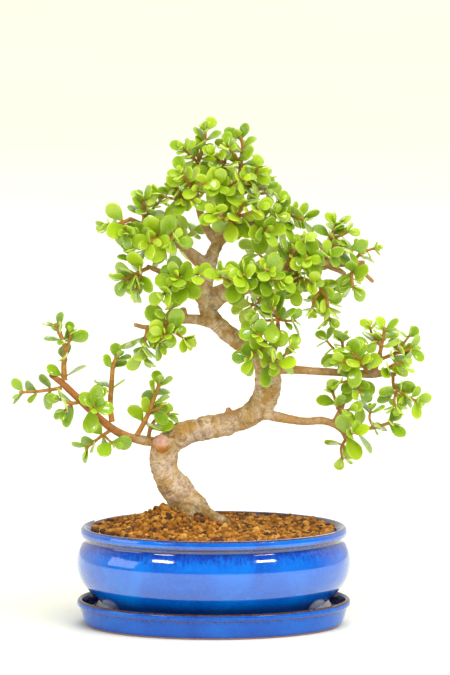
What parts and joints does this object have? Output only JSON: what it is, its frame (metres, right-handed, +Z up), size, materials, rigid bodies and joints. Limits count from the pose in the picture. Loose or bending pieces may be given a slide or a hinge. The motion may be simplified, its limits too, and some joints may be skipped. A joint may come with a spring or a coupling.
{
  "type": "bonsai tree in a pot",
  "caption": "Small succulent bonsai with a bent trunk, spreading limbs and leafy shoots, planted in a glazed oval pot standing on a matching oval drip tray.",
  "frame": {"origin": "centre of the drip tray's flat underside", "axes": "+Z up through the pot; X along the pot's long side; -Y is the front, where the two low limbs spread left and right"},
  "size_m": [0.3055, 0.156, 0.3711],
  "materials": {
    "pot_glaze": "gloss",
    "tray_glaze": "gloss",
    "soil": "matte",
    "bark": "matte",
    "leaf": "satin"
  },
  "bodies": {
    "root": {"drip_tray": "tray_glaze", "pot": "pot_glaze", "soil": "soil", "trunk": "bark", "shoot_back_left": "leaf", "shoot_back_low": "leaf", "shoot_back_right": "leaf", "shoot_crown_back": "leaf", "shoot_crown_front": "leaf", "shoot_crown_left": "leaf", "shoot_crown_left_front": "leaf", "shoot_crown_low_front": "leaf", "shoot_crown_middle": "leaf", "shoot_crown_right_back": "leaf", "shoot_crown_right_end": "leaf", "shoot_crown_right_front": "leaf", "shoot_crown_right_front_tip": "leaf", "shoot_crown_right_tip": "leaf", "shoot_front_high": "leaf", "shoot_front_inner": "leaf", "shoot_front_low": "leaf", "shoot_front_middle": "leaf", "shoot_left_front": "leaf", "shoot_left_lower_front": "leaf", "shoot_left_lower_hanging": "leaf", "shoot_left_middle_end": "leaf", "shoot_left_middle_front": "leaf", "shoot_left_riser_tip": "leaf", "shoot_left_tip": "leaf", "shoot_left_top": "leaf", "shoot_low_left_end": "leaf", "shoot_low_left_front": "leaf", "shoot_low_left_hanging": "leaf", "shoot_low_left_inner": "leaf", "shoot_low_left_inner_short": "leaf", "shoot_low_left_post": "leaf", "shoot_low_left_riser": "leaf", "shoot_low_left_under": "leaf", "shoot_low_left_upper": "leaf", "shoot_low_right_end": "leaf", "shoot_low_right_front": "leaf", "shoot_low_right_hanging": "leaf", "shoot_low_right_twig": "leaf", "shoot_mid_right_below": "leaf", "shoot_mid_right_front": "leaf", "shoot_mid_right_hanging": "leaf", "shoot_mid_right_inner": "leaf", "shoot_mid_right_outer": "leaf", "shoot_mid_right_tip": "leaf", "shoot_mid_right_top": "leaf", "shoot_upper_right_back": "leaf", "shoot_upper_right_below": "leaf", "shoot_upper_right_end": "leaf", "shoot_upper_right_front": "leaf", "shoot_upper_right_hanging": "leaf", "shoot_upper_right_inner": "leaf", "shoot_upper_right_middle": "leaf", "shoot_upper_right_shoulder": "leaf", "shoot_upper_right_tip": "leaf", "shoot_upper_right_top": "leaf"}
  },
  "joints": []
}
